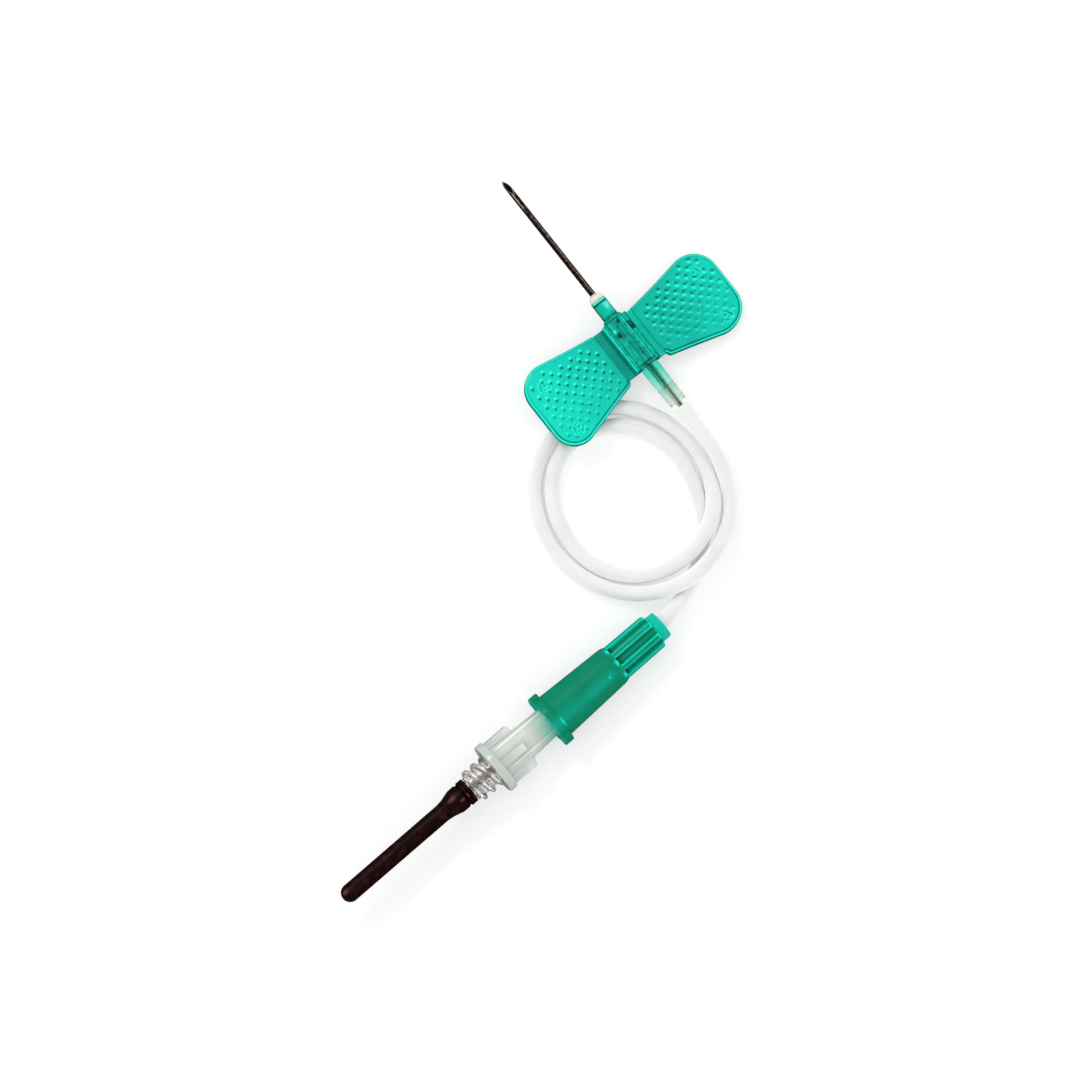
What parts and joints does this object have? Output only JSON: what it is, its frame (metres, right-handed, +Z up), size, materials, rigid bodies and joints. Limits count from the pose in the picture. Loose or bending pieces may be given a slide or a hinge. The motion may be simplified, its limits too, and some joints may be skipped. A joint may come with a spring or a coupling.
{
  "type": "butterfly needle",
  "caption": "Winged blood-collection needle with folding wings, soft tubing, a luer connector and a rear needle under a rubber sleeve.",
  "frame": {"origin": "on the table under the middle of the rigid pieces' box", "axes": "+Z up from the table, +Y towards the needle's tip along the set's length"},
  "size_m": [0.0528, 0.095, 0.0074],
  "materials": {
    "steel": "drawn tube, polished",
    "adhesive": "cured, slightly cloudy",
    "hub_green": "moulded, translucent",
    "wing_green": "moulded soft vinyl, translucent",
    "tubing_clear": "extruded soft vinyl, milky clear",
    "connector_green": "moulded, glossy",
    "adapter_clear": "moulded, milky clear",
    "sleeve_rubber": "moulded, half gloss"
  },
  "bodies": {
    "needle_set": {"needle_cannula": "steel", "needle_bond": "adhesive", "needle_hub": "hub_green", "wing_barrel": "wing_green", "tubing": "tubing_clear", "luer_connector": "connector_green"},
    "left_wing": {"wing_left": "wing_green"},
    "right_wing": {"wing_right": "wing_green"},
    "rear_adapter": {"luer_adapter": "adapter_clear", "rear_cannula": "steel", "rear_needle_bond": "adhesive", "rubber_sleeve": "sleeve_rubber"}
  },
  "joints": [
    {"name": "wing_left_fold", "type": "hinge", "parent": "needle_set", "child": "left_wing", "pos_m": [0.00889, 0.02401, 0.00249], "axis": [-0.618, 0.7862, 0], "range_deg": [0, 85], "stiffness_Nm_per_rad": 0.0015},
    {"name": "wing_right_fold", "type": "hinge", "parent": "needle_set", "child": "right_wing", "pos_m": [0.01374, 0.02782, 0.00182], "axis": [0.618, -0.7862, 0], "range_deg": [0, 85], "stiffness_Nm_per_rad": 0.0015},
    {"name": "adapter_pull", "type": "slide", "parent": "needle_set", "child": "rear_adapter", "axis": [-0.7531, -0.6565, 0.0427], "range_m": [0, 0.006]}
  ]
}
